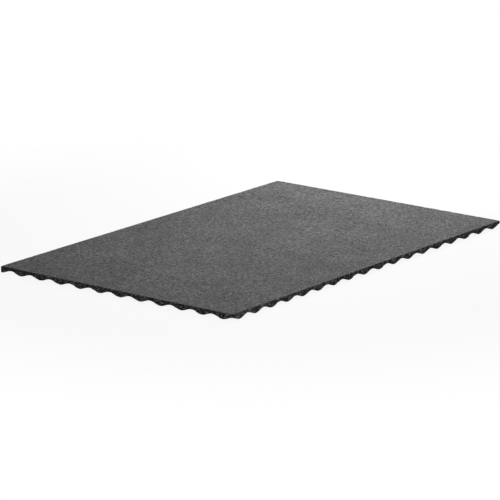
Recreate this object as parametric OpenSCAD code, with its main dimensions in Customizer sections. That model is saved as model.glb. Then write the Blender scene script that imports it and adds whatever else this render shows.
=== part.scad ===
// Sound insulation pad: one sheet of bonded rubber granulate, flat on top and waved
// in both directions underneath, like an egg tray. It lies on the points of its nubs.
// The origin is on the floor, under the middle of the pad. X runs along the pad and Z up.

/* [Pad] */
// Length of the pad, along X
pad_l = 1250; // [400:10:1600]
// Width of the pad, along Y
pad_w = 800; // [300:10:1200]
// Thickness of the pad from its top face to the points of its nubs
pad_t = 18; // [15:0.5:30]

/* [Wave] */
// Distance between two nubs in the same row
wave_pitch = 69.6; // [60:0.2:90]
// Height from the deepest point of a hollow to the point of a nub
wave_depth = 9; // [5:0.5:12]
// Width of the flat strip between the rim of a nub and the rim of the hollow beside it
rim_gap = 0.6; // [0.4:0.1:2]
// Distance that the end of the pad was cut past the middle of its first row of hollows
end_cut = 4; // [-8:0.5:8]
// Distance that the side of the pad was cut past the middle of its first row of hollows
side_cut = 2; // [-8:0.5:8]

/* [Hidden] */

// Height of the level half way between the hollows and the points of the nubs
mid_z = wave_depth / 2;
// Step from a nub to the next hollow, along X or Y
half_pitch = wave_pitch / 2;
// Radius of the rim of each nub and each hollow, at the level half way
rim_r = (half_pitch - rim_gap) / 2;
// Radius of the ball that each nub and each hollow is a cap of
ball_r = (rim_r * rim_r + mid_z * mid_z) / (2 * mid_z);
// Height of the part of a cap that runs on past the level half way
cap_root = 1;
// First and last rows whose rims reach into the pad, where row 0 is the row at the cut
first_row_x = ceil((end_cut - rim_r) / half_pitch);
last_row_x = floor((pad_l + end_cut + rim_r) / half_pitch);
first_row_y = ceil((side_cut - rim_r) / half_pitch);
last_row_y = floor((pad_w + side_cut + rim_r) / half_pitch);

$fn = 72;

// Flat sheet that the nubs stand out of and the hollows sink into
module sheet() {
    translate([-pad_l / 2, -pad_w / 2, mid_z])
        cube([pad_l, pad_w, pad_t - mid_z]);
}

// Cap of a ball, with its point at the origin and its root upwards. Facets crowd together around
// a ball's poles and a cut edge runs close past some points, so the ball is turned to lay its poles
// level, outside the cap.
module cap() {
    intersection() {
        translate([0, 0, ball_r])
            rotate([90, 0, 0])
                sphere(ball_r);
        translate([-ball_r, -ball_r, 0])
            cube([2 * ball_r, 2 * ball_r, mid_z + cap_root]);
    }
}

// Children at every second point of the wave grid, starting at the corner if odd is 0
module at_grid(odd) {
    for (i = [first_row_x : last_row_x], j = [first_row_y : last_row_y])
        if (abs(i + j) % 2 == odd)
            translate([i * half_pitch - pad_l / 2 - end_cut, j * half_pitch - pad_w / 2 - side_cut, 0])
                children();
}

// Upright block over the pad's outline, which trims the caps that the cut edges run through
module outline_block() {
    translate([-pad_l / 2, -pad_w / 2, 0])
        cube([pad_l, pad_w, pad_t]);
}

module sound_insulation_pad() {
    color([0.4, 0.4, 0.4])
        difference() {
            union() {
                sheet();
                intersection() {
                    outline_block();
                    at_grid(1)
                        cap();
                }
            }
            at_grid(0)
                translate([0, 0, wave_depth])
                    mirror([0, 0, 1])
                        cap();
        }
}

sound_insulation_pad();
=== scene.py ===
# %% [markdown]
# # A sound insulation pad of bonded rubber granulate
#
# The real object is one rectangular sheet. Rubber crumbs from a shredder are mixed with a little
# binder, pressed into a block, and a knife peels the sheet off it. One face comes off flat. The
# other is waved in both directions, like an egg tray. The pad touches what it lies on only with the
# points of its nubs, and so it passes little sound on.
#
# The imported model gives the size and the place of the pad. This script dresses it: a finer mesh
# with the same outline, three finishes for the rubber, and a plain studio round it.

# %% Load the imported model
import math

import bmesh
import bpy
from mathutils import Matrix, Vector, noise


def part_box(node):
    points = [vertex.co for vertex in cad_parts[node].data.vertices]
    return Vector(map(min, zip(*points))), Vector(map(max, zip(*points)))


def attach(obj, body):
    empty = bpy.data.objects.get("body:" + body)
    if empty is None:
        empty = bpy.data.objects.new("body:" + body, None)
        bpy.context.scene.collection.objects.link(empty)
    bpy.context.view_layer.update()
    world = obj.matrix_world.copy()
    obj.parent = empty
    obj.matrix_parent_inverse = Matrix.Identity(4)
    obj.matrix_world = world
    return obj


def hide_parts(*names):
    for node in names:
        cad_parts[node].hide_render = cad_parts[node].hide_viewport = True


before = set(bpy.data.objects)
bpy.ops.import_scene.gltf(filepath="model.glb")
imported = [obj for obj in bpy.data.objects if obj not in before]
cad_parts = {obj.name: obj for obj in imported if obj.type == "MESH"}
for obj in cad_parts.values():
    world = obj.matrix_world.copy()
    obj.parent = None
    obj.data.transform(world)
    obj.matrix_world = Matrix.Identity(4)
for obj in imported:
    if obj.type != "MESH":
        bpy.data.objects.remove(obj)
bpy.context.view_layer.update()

NODE = "sound_insulation_pad"
pad_low, pad_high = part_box(NODE)
pad_size = pad_high - pad_low
print("pad in metres:", [round(s, 4) for s in pad_size])

# %% [markdown]
# ## The camera
#
# The camera comes first, because everything else is judged through it. It could be dragged into
# place by eye. Here two angles, a distance and a lens place it, because each of those can be
# measured and changed by itself. The pad's four top corners and its two waved edges fix them: a
# long lens, about eight degrees wide, looks from off the pad's front corner and fifteen degrees
# above it. It is aimed at a point just beside the middle of the pad, so no lens shift is needed.

# %% Make the camera
MM = 0.001
VIEW_AZIMUTH = math.radians(-52.427)
VIEW_ELEVATION = math.radians(14.734)
VIEW_DISTANCE = 9721.6 * MM
AIM_RIGHT = -18.6 * MM
AIM_UP = -2.9 * MM
LENS_MM = 250.1
SENSOR_MM = 36


def direction(azimuth, elevation):
    """Unit vector from the pad towards a place seen at these angles; azimuth 0 is in front."""
    flat = math.cos(elevation)
    return Vector((math.sin(azimuth) * flat, -math.cos(azimuth) * flat, math.sin(elevation)))


def add_camera():
    back = direction(VIEW_AZIMUTH, VIEW_ELEVATION)
    right = (-back).cross(Vector((0, 0, 1))).normalized()
    up = right.cross(-back)
    lens = bpy.data.cameras.new("camera")
    lens.lens = LENS_MM
    lens.sensor_width = SENSOR_MM
    camera = bpy.data.objects.new("camera", lens)
    camera.location = right * AIM_RIGHT + up * AIM_UP + back * VIEW_DISTANCE
    camera.rotation_euler = (-back).to_track_quat("-Z", "Y").to_euler()
    bpy.context.scene.collection.objects.link(camera)
    bpy.context.scene.camera = camera
    return camera


camera = add_camera()
print("camera at", [round(c, 3) for c in camera.location])

# %% [markdown]
# ## The wave of the underside
#
# A contour knife leaves a smooth wave: deep hollows and nubs alternate like the squares of a
# chessboard. The wave could be sculpted, or one nub could be modelled and repeated as an array. A
# product of two cosines gives it in one line. Its nubs run into each other with no seam, and a cut
# edge may fall anywhere in it. The front corner was cut close to the middle of a hollow, and both
# front edges therefore show the full wave.

# %% The height of the underside
PITCH = 69.6 * MM
DEPTH = 9 * MM
# How far past the middle of a row of hollows the pad's end and its side were cut
END_CUT = 4 * MM
SIDE_CUT = 2 * MM
TURN = 2 * math.pi / PITCH


def underside(x, y):
    """Height of the underside over the floor: DEPTH in a hollow, 0 at the point of a nub."""
    along = math.cos((x - pad_low.x + END_CUT) * TURN)
    across = math.cos((y - pad_low.y + SIDE_CUT) * TURN)
    return DEPTH / 2 * (1 + along * across)


print("waves along the edges:", round(pad_size.x / PITCH, 2), round(pad_size.y / PITCH, 2))

# %% [markdown]
# ## The sheet
#
# A cube with a Subdivision Surface modifier would spread its faces evenly and waste most of them on
# the flat top. Instead, a flat grid of coarse squares, four to a wave, is extruded upwards into a
# closed block. The next step cuts only what needs detail.

# %% Make the block
COARSE = PITCH / 4


def make_block():
    """A closed block of the pad's size. Its grid starts 1 m square: a grid's size is half a side."""
    bm = bmesh.new()
    columns = round(pad_size.x / COARSE)
    rows = round(pad_size.y / COARSE)
    bmesh.ops.create_grid(bm, x_segments=columns, y_segments=rows, size=0.5)
    bmesh.ops.scale(bm, vec=(pad_size.x, pad_size.y, 1), verts=bm.verts)
    lifted = bmesh.ops.extrude_face_region(bm, geom=bm.faces[:])["geom"]
    top = [item for item in lifted if isinstance(item, bmesh.types.BMVert)]
    bmesh.ops.translate(bm, vec=(0, 0, pad_size.z), verts=top)
    bmesh.ops.recalc_face_normals(bm, faces=bm.faces)
    return bm


block = make_block()
print("block:", len(block.verts), "vertices,", len(block.faces), "faces")

# %% [markdown]
# ## Finer faces where they show
#
# Faces fine enough for a crumb, all over the pad, would be nearly two million triangles. So the
# underside is cut finer for the wave, and only the four cut sides finer still for the crumbs that
# stand out of them. An inset gives the top a narrow border as finely divided as the sides, so that
# crumbs can be missing from its rim.

# %% Cut the block finer
WAVE_CUTS = 3
CRUMB_CUTS = 2
SIDE_ROWS = 12
RIM_WIDTH = 5 * MM
# Upright part of a face's normal: with more than this, the face looks up or down
STEEP = 0.5


def is_top(face):
    return face.normal.z > STEEP


def is_side(face):
    return abs(face.normal.z) < STEEP


def is_level(edge):
    return abs(edge.verts[0].co.z - edge.verts[1].co.z) < pad_size.z / 2


def edges_of(faces, test):
    """Edges of these faces that pass the test, each once, in the order of the faces."""
    return list(dict.fromkeys(edge for face in faces for edge in face.edges if test(edge)))


def cut_finer(bm):
    """Cuts the underside for the wave, and the sides for the crumbs in them."""
    waved_and_sides = [face for face in bm.faces if not is_top(face)]
    level = edges_of(waved_and_sides, is_level)
    bmesh.ops.subdivide_edges(bm, edges=level, cuts=WAVE_CUTS, use_grid_fill=True)
    sides = [face for face in bm.faces if is_side(face)]
    level = edges_of(sides, is_level)
    bmesh.ops.subdivide_edges(bm, edges=level, cuts=CRUMB_CUTS, use_grid_fill=True)
    sides = [face for face in bm.faces if is_side(face)]
    upright = edges_of(sides, lambda edge: not is_level(edge))
    bmesh.ops.subdivide_edges(bm, edges=upright, cuts=SIDE_ROWS - 1, use_grid_fill=True)


def border_top(bm):
    tops = [face for face in bm.faces if is_top(face)]
    bmesh.ops.inset_region(bm, faces=tops, thickness=RIM_WIDTH, use_even_offset=True)


def triangles(bm):
    return sum(len(face.verts) - 2 for face in bm.faces)


cut_finer(block)
border_top(block)
print("cut finer:", len(block.verts), "vertices,", triangles(block), "triangles")

# %% [markdown]
# ## Knife edges and finishes
#
# Where two cuts meet, the edge of the real pad is crisp. A bevel would round it, and smooth shading
# alone would make it look moulded. So each such edge is marked sharp, and everything else is shaded
# smooth. The faces get their finishes now too, while each still looks straight up, down or
# sideways.

# %% Mark the edges and the faces
# Faces that meet at more than this angle were parted by a knife
KNIFE_ANGLE = math.radians(45)
TOP_FINISH, CUT_FINISH, WAVE_FINISH = 0, 1, 2


def mark_knife_edges(bm):
    for edge in bm.edges:
        edge.smooth = edge.calc_face_angle() < KNIFE_ANGLE


def choose_finishes(bm):
    """Gives each face its finish and shades it smooth."""
    for face in bm.faces:
        face.smooth = True
        if is_top(face):
            face.material_index = TOP_FINISH
        elif is_side(face):
            face.material_index = CUT_FINISH
        else:
            face.material_index = WAVE_FINISH


mark_knife_edges(block)
choose_finishes(block)
print("sharp edges:", sum(not edge.smooth for edge in block.edges), "of", len(block.edges))

# %% [markdown]
# ## Crumbs in the cut sides
#
# A knife through bonded crumbs doesn't leave a clean face: it goes through most and tears some
# out. A bump map could draw that, but it would leave the outline of the wave smooth, and the cut
# edges are seen against white. So the vertices themselves move. Worley noise scatters one point per
# crumb. Where the nearest two points are about as far away, there is a joint between two crumbs,
# and the surface sinks in a little. Where a crumb is missing, its whole cell is a pit. The corners
# are worn a little more.
#
# The real crumbs are 1 to 3 mm. They are drawn 4.5 mm, because finer ones don't show in a picture
# of a pad this long.

# %% How deep a torn surface lies
CRUMB = 4.5 * MM
# Width of a joint, in crumbs
JOINT_WIDTH = 0.2
JOINT_DEPTH = 0.5 * MM
MISSING_SHARE = 0.12
PIT_DEPTH = 1.8 * MM
WEAR_RADIUS = 12 * MM
WEAR_DEPTH = 2.0 * MM
# Spreads the crumbs apart, so that each reads a cell of its own from the cell noise
CELL_SPREAD = 7.3


def is_torn_out(crumb):
    """Whether a crumb is missing; the cell noise runs from -1 to 1."""
    return (noise.cell(crumb * CELL_SPREAD) + 1) / 2 < MISSING_SHARE


def crumb_depth(point):
    """Depth of the torn surface: 0 on a crumb, more in a joint, most where a crumb is missing."""
    distances, crumbs = noise.voronoi(point / CRUMB)
    joint = 1 - min((distances[1] - distances[0]) / JOINT_WIDTH, 1)
    pit = PIT_DEPTH * (1 - joint) if is_torn_out(crumbs[0]) else 0
    return JOINT_DEPTH * joint + pit


def corner_wear(x, y, half):
    """Extra depth at the four corners, falling to 0 at WEAR_RADIUS from them."""
    away = math.hypot(half.x - abs(x), half.y - abs(y))
    return WEAR_DEPTH * max(0, 1 - away / WEAR_RADIUS)


print("crumbs side by side along the pad:", round(pad_size.x / CRUMB))

# %% [markdown]
# ## From a block to the pad
#
# One pass over the vertices bends the block and tears it. The underside takes the height of the
# wave, and the rows above it close up evenly towards the top. Then every torn point moves inwards,
# so that the pad keeps its size.
#
# Little light gets into a pit, and the crumbs down there are fresh rubber. The picture would need
# far finer faces to show that by shadow alone, so each point also stores a shade from 0 to 1, and
# the finishes are darker where it is high: in a pit, along the torn rim and up in the hollows of
# the wave. In the hollows it is painted shade, deepest in the middle of each, so that the form of
# the wave shows. The points of the nubs get none and stay paler.

# %% Bend the block and tear its sides
# Closer than this to an edge of the block counts as on it
NEAR = 0.01 * MM
# Shares of a point's torn depth by which the rim sinks and the wave gets rough
RIM_DROP = 0.2
WAVE_ROUGHNESS = 0.25
# Least shade of the torn rim, and the painted shade of the deepest hollows of the wave
RIM_SHADE = 0.6
HOLLOW_SHADE = 0.8


def bend_and_tear(bm):
    """Gives the block its wave, its torn sides and rim, and each point its shade."""
    half = Vector((pad_size.x / 2, pad_size.y / 2))
    middle = (pad_low + pad_high) / 2
    shade = bm.verts.layers.float.new("shade")
    for vert in bm.verts:
        x, y, z = vert.co
        on_end = half.x - abs(x) < NEAR
        on_side = half.y - abs(y) < NEAR
        low = underside(x, y)
        vert.co.z = low + (pad_size.z - low) * z / pad_size.z
        depth = crumb_depth(vert.co)
        if on_end or on_side:
            vert[shade] = min(depth / PIT_DEPTH, 1)
            if pad_size.z - z < NEAR:
                depth += corner_wear(x, y, half)
                vert.co.z -= RIM_DROP * depth
                vert[shade] = max(vert[shade], RIM_SHADE)
        if z < NEAR:
            vert.co.z += WAVE_ROUGHNESS * min(depth, JOINT_DEPTH)
            # Painted shade up in the hollows of the wave, none at the points of the nubs
            vert[shade] = max(vert[shade], HOLLOW_SHADE * low / DEPTH)
        if on_end:
            vert.co.x -= math.copysign(depth, x)
        if on_side:
            vert.co.y -= math.copysign(depth, y)
        vert.co += Vector((middle.x, middle.y, pad_low.z))


bend_and_tear(block)
heights = [vert.co.z for vert in block.verts]
print("height from", round(min(heights) / MM, 2), "to", round(max(heights) / MM, 2), "mm")

# %% [markdown]
# ## The mesh becomes the pad
#
# A bmesh is only a working copy, so it is written into a mesh, and the mesh is hung on an object.
# The object stays at the origin, and its place is in its mesh. The pad rides on the model's one
# body and takes the place of the imported node, which is hidden.

# %% Make it an object
pad_mesh = bpy.data.meshes.new("insulation_pad")
block.to_mesh(pad_mesh)
block.free()
pad = bpy.data.objects.new("insulation_pad", pad_mesh)
bpy.context.scene.collection.objects.link(pad)
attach(pad, "root")
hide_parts(NODE)
print("object:", pad.name, "with", len(pad_mesh.polygons), "faces")

# %% [markdown]
# ## Three finishes of one rubber
#
# Crumb rubber from tyres is a filled black rubber: matt, IOR about 1.52, with no metal in it. A
# photograph of the surface could be laid over the pad, but it would repeat or blur on a sheet this
# large. A node pattern on the object's own coordinates has its size in millimetres and never
# repeats. The three finishes differ only in their numbers, so one function makes them all.

# %% Colours and the node helper
def linear(hex_colour):
    """sRGB hex, as picked from a colour chart, to the linear values that a shader takes."""
    parts = [int(hex_colour[i:i + 2], 16) / 255 for i in (1, 3, 5)]
    return [p / 12.92 if p <= 0.04045 else ((p + 0.055) / 1.055) ** 2.4 for p in parts] + [1]


def add_node(tree, kind, settings=None, inputs=None):
    """Adds a node, sets its properties and fills or links its inputs."""
    node = tree.nodes.new(kind)
    for name, value in (settings or {}).items():
        setattr(node, name, value)
    for name, value in (inputs or {}).items():
        if isinstance(value, bpy.types.NodeSocket):
            tree.links.new(value, node.inputs[name])
        else:
            node.inputs[name].default_value = value
    return node


print("mid-grey #808080 in linear light:", round(linear("#808080")[0], 3))

# %% [markdown]
# ## Crumbs and the joints between them
#
# A Voronoi texture gives each crumb a cell and three random numbers. Red picks its grey, Green tears
# some crumbs out, and Blue makes some duller and rounder than others. A second one with the same
# cells measures how far the nearest joint is. Voronoi cells have straight edges, so a noise first
# pushes the places about, and the crumbs get the ragged outlines of shredded rubber.
#
# Real crumbs are mostly 1 to 3 mm. Like the torn ones, they are drawn coarser, 4.5 to 5 mm, because
# finer ones would melt into one flat grey in a picture of the whole pad.

# %% The pattern of the crumbs
# All in crumbs: how far an outline is pushed about, the size of the blots that push it, and how far
# an edge is rounded down to the joint on the flattest and on the roundest crumb
RAGGED = 0.8
RAGGED_BLOT = 0.5
FLAT_EDGE = 0.05
ROUND_EDGE = 0.25


def crumb_cells(tree, place, crumb):
    """Each crumb's three random numbers, and how far a place is from the nearest joint."""
    push = add_node(tree, "ShaderNodeTexNoise", inputs={
        "Vector": place, "Scale": 1 / (RAGGED_BLOT * crumb), "Detail": 1.0})
    ragged = add_node(tree, "ShaderNodeVectorMath", {"operation": "MULTIPLY_ADD"}, {
        0: push.outputs["Color"], 1: [RAGGED * crumb] * 3, 2: place})
    cells = {"Vector": ragged.outputs["Vector"], "Scale": 1 / crumb, "Randomness": 1.0}
    crumbs = add_node(tree, "ShaderNodeTexVoronoi", {"feature": "F1"}, cells)
    joints = add_node(tree, "ShaderNodeTexVoronoi", {"feature": "DISTANCE_TO_EDGE"}, cells)
    own = add_node(tree, "ShaderNodeSeparateColor", inputs={"Color": crumbs.outputs["Color"]})
    return own.outputs, joints.outputs["Distance"]


def how_deep(tree, own, to_joint, joint, missing):
    """How deep a place lies: 0 on a crumb, up to joint beside it, 1 where a crumb is torn out."""
    torn = add_node(tree, "ShaderNodeMath", {"operation": "LESS_THAN"},
                    {0: own["Green"], 1: missing})
    edge = add_node(tree, "ShaderNodeMapRange", inputs={
        "Value": own["Blue"], "To Min": FLAT_EDGE, "To Max": ROUND_EDGE})
    gap = add_node(tree, "ShaderNodeMapRange", inputs={
        "Value": to_joint, "From Max": edge.outputs["Result"], "To Min": joint, "To Max": 0.0})
    deep = add_node(tree, "ShaderNodeMath", {"operation": "MAXIMUM"},
                    {0: gap.outputs["Result"], 1: torn.outputs["Value"]})
    return deep.outputs["Value"]


print("outlines pushed either way by up to", RAGGED / 2, "of a crumb")

# %% [markdown]
# ## The colour of the crumbs
#
# A ramp gives each crumb its grey. One grey for all would look like poured rubber. The colour gets
# darker in the joints, where a crumb is missing, and with the shade stored in the mesh. In the hole
# of a missing crumb that darkening is fresh rubber and painted shade. A fine noise over the colour
# stands for the smallest crumbs, about 1 mm across, which only a close look shows. A wide one makes
# patches about a hand long a little paler or darker, because the crumbs pack unevenly in the press.

# %% Greys, grain and patches
GRAIN_MM = 1.2
PATCH_MM = 160
# How much paler or darker the grain and the patches make the rubber
GRAIN_SHARE = 0.25
PATCH_SHARE = 0.14
# The noise hardly ever leaves the range between these two
NOISE_LOW = 0.3
NOISE_HIGH = 0.7
# What is left of the colour in the deepest places
DARKEST = 0.35


def set_stops(ramp_node, stops):
    """Gives a ramp as many stops as it needs, each with its place and its colour."""
    ramp = ramp_node.color_ramp
    while len(ramp.elements) < len(stops):
        ramp.elements.new(0.5)
    for element, (place, hex_colour) in zip(ramp.elements, stops):
        element.position = place
        element.color = linear(hex_colour)


def uneven(tree, place, size_mm, share):
    """A factor that wanders between 1 - share and 1 + share, in blots of about this size."""
    blots = add_node(tree, "ShaderNodeTexNoise", inputs={
        "Vector": place, "Scale": 1 / (size_mm * MM), "Detail": 2.0, "Roughness": 0.6})
    factor = add_node(tree, "ShaderNodeMapRange", inputs={
        "Value": blots.outputs["Fac"], "From Min": NOISE_LOW, "From Max": NOISE_HIGH,
        "To Min": 1 - share, "To Max": 1 + share})
    return factor.outputs["Result"]


def crumb_colour(tree, own, greys, deep, grain, patches):
    """The grey of each crumb, as light or dark as its place makes it."""
    ramp = add_node(tree, "ShaderNodeValToRGB", inputs={"Fac": own["Red"]})
    set_stops(ramp, greys)
    shade = add_node(tree, "ShaderNodeAttribute", {"attribute_name": "shade"})
    # Darker in the joints, with painted shade and fresh rubber in the holes, and with the shade
    # stored in the mesh
    darker = add_node(tree, "ShaderNodeMath", {"operation": "MAXIMUM"},
                      {0: deep, 1: shade.outputs["Fac"]})
    light = add_node(tree, "ShaderNodeMapRange", inputs={
        "Value": darker.outputs["Value"], "To Min": 1.0, "To Max": DARKEST})
    mottle = add_node(tree, "ShaderNodeMath", {"operation": "MULTIPLY"}, {0: grain, 1: patches})
    tone = add_node(tree, "ShaderNodeMath", {"operation": "MULTIPLY"},
                    {0: light.outputs["Result"], 1: mottle.outputs["Value"]})
    colour = add_node(tree, "ShaderNodeVectorMath", {"operation": "SCALE"},
                      {"Vector": ramp.outputs["Color"], "Scale": tone.outputs["Value"]})
    return colour.outputs["Vector"]


print("palest patch to darkest:", round((1 + PATCH_SHARE) / (1 - PATCH_SHARE), 2), "to 1")

# %% [markdown]
# ## The recipe for a finish
#
# Colour alone would look printed on. So the joints, holes and grain that darken the colour also
# drive the bump, and what looks deep is lit as if it were. Each crumb has a roughness of its own,
# and all are so matt that hardly any gloss is left.

# %% Put a finish together
# Height of the grain beside a whole crumb's
GRAIN_HEIGHT = 0.24
RUBBER_IOR = 1.52


def bonded_crumbs(name, crumb_mm, greys, joint, missing, bump_mm, roughness, gloss):
    """Rubber crumbs, each with its own grey: joint is how dark their joints get, missing the share
    that is torn out, roughness the lowest and highest of a crumb."""
    material = bpy.data.materials.new(name)
    material.use_nodes = True
    tree = material.node_tree
    tree.nodes.clear()
    place = add_node(tree, "ShaderNodeTexCoord").outputs["Object"]
    own, to_joint = crumb_cells(tree, place, crumb_mm * MM)
    deep = how_deep(tree, own, to_joint, joint, missing)
    grain = uneven(tree, place, GRAIN_MM, GRAIN_SHARE)
    patches = uneven(tree, place, PATCH_MM, PATCH_SHARE)
    colour = crumb_colour(tree, own, greys, deep, grain, patches)
    level = add_node(tree, "ShaderNodeMapRange", inputs={
        "Value": deep, "To Min": 1.0, "To Max": 0.0})
    height = add_node(tree, "ShaderNodeMath", {"operation": "MULTIPLY_ADD"},
                      {0: grain, 1: GRAIN_HEIGHT, 2: level.outputs["Result"]})
    bump = add_node(tree, "ShaderNodeBump", inputs={
        "Height": height.outputs["Value"], "Distance": bump_mm * MM, "Strength": 1.0})
    dull = add_node(tree, "ShaderNodeMapRange", inputs={
        "Value": own["Blue"], "To Min": roughness[0], "To Max": roughness[1]})
    shader = add_node(tree, "ShaderNodeBsdfPrincipled", inputs={
        "Base Color": colour, "Normal": bump.outputs["Normal"], "IOR": RUBBER_IOR,
        "Roughness": dull.outputs["Result"], "Specular IOR Level": gloss})
    add_node(tree, "ShaderNodeOutputMaterial", inputs={"Surface": shader.outputs["BSDF"]})
    return material


mirrored = ((RUBBER_IOR - 1) / (RUBBER_IOR + 1)) ** 2
print("share of light that smooth rubber mirrors:", round(mirrored, 3))

# %% [markdown]
# ## The top, the cut sides and the wave
#
# The top was peeled off the block. Rubbed and a little dusty from storage, it is an even mid-grey
# to the eye, with a fine speckle, and quite matt. The sides were cut last, straight through the
# crumbs. They show fresh black rubber with a paler crumb here and there, and are the most torn.
# Their colour is also far darker than the top's as painted shade, for sides that get less light
# than the top. The contour knife leaves the wave smoother and as dark as the sides, so that one
# sees its form and hardly its crumbs.

# %% The three finishes
# Crumb rubber, peeled and rubbed: mid-grey with shallow joints and a few crumbs that stand out
peeled = bonded_crumbs(
    "peeled_crumb_rubber_top", crumb_mm=4.5,
    greys=[(0.0, "#343434"), (0.12, "#5b5b5b"), (0.88, "#7a7a7a"), (1.0, "#919191")],
    joint=0.7, missing=0.05, bump_mm=0.5, roughness=(0.88, 1.0), gloss=0.2)
# Crumb rubber, cut with a straight knife: nearly black, partly fresh rubber and partly painted
# shade, torn, with strong contrast
cut = bonded_crumbs(
    "knife_cut_crumb_rubber", crumb_mm=5.0,
    greys=[(0.0, "#171717"), (0.5, "#3b3b3b"), (1.0, "#868686")],
    joint=0.75, missing=0.08, bump_mm=0.8, roughness=(0.8, 1.0), gloss=0.15)
# Crumb rubber, cut with a contour knife: dark and even
waved = bonded_crumbs(
    "contour_cut_crumb_rubber", crumb_mm=4.5,
    greys=[(0.0, "#282828"), (0.5, "#373737"), (1.0, "#4a4a4a")],
    joint=0.5, missing=0.04, bump_mm=0.4, roughness=(0.8, 1.0), gloss=0.15)
for finish in (peeled, cut, waved):
    pad_mesh.materials.append(finish)
print("finishes:", [m.name for m in pad_mesh.materials])

# %% [markdown]
# ## White surroundings
#
# The pad stands in white, as for a catalogue picture. A studio lit up to pure white would need so
# much light that the pad would be too bright. Instead, the floor and the world only look plain
# white to the camera, and light the pad far less. A light path node tells what each ray is for.

# %% White for the camera alone
WHITE = linear("#ffffff")


def seen_directly(tree):
    """1 where the camera sees a surface, straight or in a gloss or through glass."""
    path = add_node(tree, "ShaderNodeLightPath")
    first = add_node(tree, "ShaderNodeMath", {"operation": "MAXIMUM"},
                     {0: path.outputs["Is Camera Ray"], 1: path.outputs["Is Glossy Ray"]})
    both = add_node(tree, "ShaderNodeMath", {"operation": "MAXIMUM"},
                    {0: first.outputs["Value"], 1: path.outputs["Is Transmission Ray"]})
    return both.outputs["Value"]


print("white in linear light:", WHITE[:3])

# %% [markdown]
# ## The studio floor
#
# A wide sheet of white paper. In a real studio it would curve up behind the pad, to hide where the
# floor ends. Here the far floor is as white as the world behind it, so a flat one will do. It mixes
# two finishes: white paper, and plain white for the camera. Near the pad it keeps a share of the
# paper's own shading, so that the pad's shadow still shows.

# %% Make the floor
FLOOR_RADIUS = 9.0
FLOOR_SIDES = 96
# Keeps the floor just clear of the points of the nubs
FLOOR_GAP = 0.05 * MM
# Share of plain white near the pad. It grows to 1 between these two distances from the middle
PLAIN_SHARE = 0.9
SHADED_RADIUS = 0.8
PLAIN_RADIUS = 1.6


def white_floor_finish():
    material = bpy.data.materials.new("white_studio_floor")
    material.use_nodes = True
    tree = material.node_tree
    tree.nodes.clear()
    paper = add_node(tree, "ShaderNodeBsdfDiffuse", inputs={"Color": linear("#f4f4f4")})
    plain = add_node(tree, "ShaderNodeEmission", inputs={"Color": WHITE})
    place = add_node(tree, "ShaderNodeTexCoord").outputs["Object"]
    away = add_node(tree, "ShaderNodeVectorMath", {"operation": "LENGTH"}, {0: place})
    plainer = add_node(tree, "ShaderNodeMapRange", {"interpolation_type": "SMOOTHSTEP"}, {
        "Value": away.outputs["Value"], "From Min": SHADED_RADIUS, "From Max": PLAIN_RADIUS,
        "To Min": PLAIN_SHARE, "To Max": 1.0})
    share = add_node(tree, "ShaderNodeMath", {"operation": "MULTIPLY"},
                     {0: seen_directly(tree), 1: plainer.outputs["Result"]})
    mix = add_node(tree, "ShaderNodeMixShader", inputs={
        0: share.outputs["Value"], 1: paper.outputs["BSDF"], 2: plain.outputs["Emission"]})
    add_node(tree, "ShaderNodeOutputMaterial", inputs={"Surface": mix.outputs["Shader"]})
    return material


def add_floor():
    bm = bmesh.new()
    bmesh.ops.create_circle(bm, cap_ends=True, segments=FLOOR_SIDES, radius=FLOOR_RADIUS)
    bmesh.ops.translate(bm, vec=(0, 0, pad_low.z - FLOOR_GAP), verts=bm.verts)
    mesh = bpy.data.meshes.new("studio_floor")
    bm.to_mesh(mesh)
    bm.free()
    mesh.materials.append(white_floor_finish())
    floor = bpy.data.objects.new("studio_floor", mesh)
    bpy.context.scene.collection.objects.link(floor)


add_floor()
print("floor:", 2 * FLOOR_RADIUS, "m across")

# %% [markdown]
# ## The light
#
# A picture of a real studio could light the pad from all round, but then no lamp could be moved by
# itself. Three soft lamps and a little light from the white world do it. The key lamp beyond the
# pad's right end makes that end lighter. A weaker one off the front corner lights the cut sides. A
# small one hangs low over the middle, so that the light falls off towards the far left corner.

# %% Light the studio
# Light that the white world gives the pad. The camera sees the world as plain white
WORLD_LEVEL = 0.08


def light_world():
    world = bpy.data.worlds.new("studio")
    world.use_nodes = True
    tree = world.node_tree
    tree.nodes.clear()
    soft = add_node(tree, "ShaderNodeBackground", inputs={"Color": WHITE, "Strength": WORLD_LEVEL})
    plain = add_node(tree, "ShaderNodeBackground", inputs={"Color": WHITE, "Strength": 1.0})
    mix = add_node(tree, "ShaderNodeMixShader", inputs={
        0: seen_directly(tree), 1: soft.outputs["Background"], 2: plain.outputs["Background"]})
    add_node(tree, "ShaderNodeOutputWorld", inputs={"Surface": mix.outputs["Shader"]})
    bpy.context.scene.world = world


def add_lamp(name, place, size, power):
    """Adds a round soft lamp, turned to the pad. It gives light but isn't drawn itself."""
    lamp = bpy.data.lights.new(name, "AREA")
    lamp.shape = "DISK"
    lamp.size = size
    lamp.energy = power
    holder = bpy.data.objects.new(name, lamp)
    holder.location = place
    holder.rotation_euler = (-Vector(place)).to_track_quat("-Z", "Y").to_euler()
    holder.visible_camera = False
    bpy.context.scene.collection.objects.link(holder)


light_world()
bpy.context.scene.view_settings.view_transform = "Standard"
add_lamp("key_lamp", place=(1.4, 0.4, 1.0), size=1.0, power=25.3)
add_lamp("fill_lamp", place=(-1.5, -1.25, 1.1), size=1.0, power=8)
add_lamp("middle_lamp", place=(-0.2, -0.2, 0.8), size=0.5, power=1.7)
print("lamps and their watts:", {lamp.name: round(lamp.energy, 1) for lamp in bpy.data.lights})
